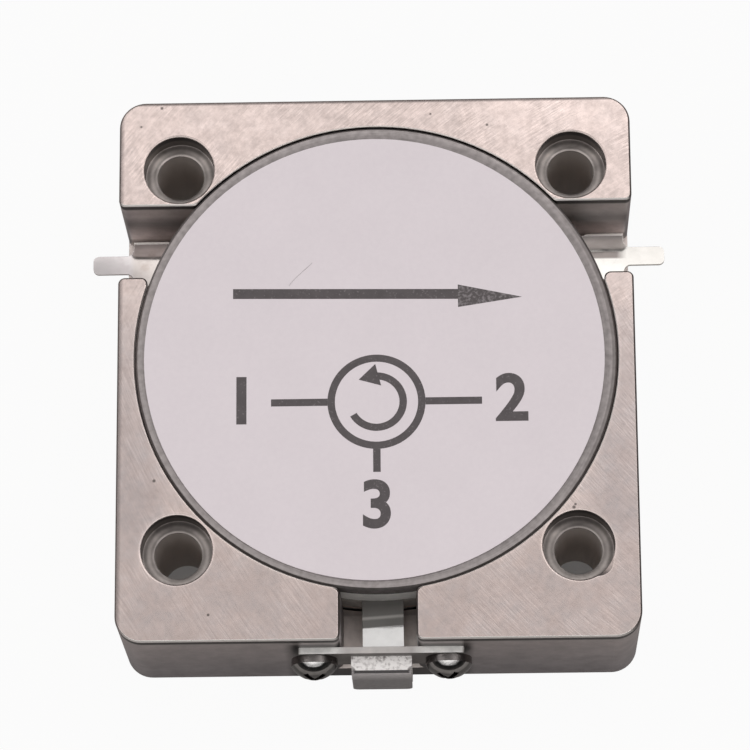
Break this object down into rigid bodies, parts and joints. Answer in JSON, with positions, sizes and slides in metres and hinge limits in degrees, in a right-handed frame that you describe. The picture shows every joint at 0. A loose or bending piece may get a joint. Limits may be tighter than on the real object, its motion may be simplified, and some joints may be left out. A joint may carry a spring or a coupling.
{
  "type": "drop-in isolator",
  "caption": "Drop-in microwave isolator: square steel housing with a round screwed cover, side solder tabs and a flange-mounted termination resistor.",
  "frame": {"origin": "on the base, at the middle of the four mounting holes, which is also the axis of the round cavity", "axes": "+X from the left tab to the right tab, -Y towards the termination resistor, +Z out of the cover"},
  "size_m": [0.0396, 0.0398, 0.011],
  "materials": {
    "plated_steel": "satin nickel plate, finely scratched",
    "cover_steel": "mottled matte plate",
    "label_film": "white matte film",
    "magnet": "ground ferrite magnet",
    "pole_steel": "satin plate",
    "ground_foil": "bare copper foil",
    "ferrite": "ground microwave ferrite",
    "ring_ceramic": "fine unglazed ceramic",
    "silver_plate": "bright silver plate",
    "shim_alloy": "rolled nickel-iron sheet",
    "flange_plate": "satin nickel plate",
    "solder": "bright tin solder",
    "chip_ceramic": "metallised ceramic with rough edges",
    "lid_ceramic": "matte grey lid",
    "screw_steel": "bright stainless"
  },
  "bodies": {
    "root": {"housing": "plated_steel", "cover": "cover_steel", "label": "label_film", "lower_magnet": "magnet", "lower_pole_plate": "pole_steel", "lower_ground_foil": "ground_foil", "lower_ferrite": "ferrite", "lower_ring": "ring_ceramic", "centre_conductor": "silver_plate", "upper_ferrite": "ferrite", "upper_ring": "ring_ceramic", "upper_ground_foil": "ground_foil", "upper_pole_plate": "pole_steel", "upper_magnet": "magnet", "compensation_shim": "shim_alloy", "load_flange": "flange_plate", "chip_solder": "solder", "load_chip": "chip_ceramic", "load_lid": "lid_ceramic", "strip_solder": "solder", "load_screws": "screw_steel"}
  },
  "joints": []
}
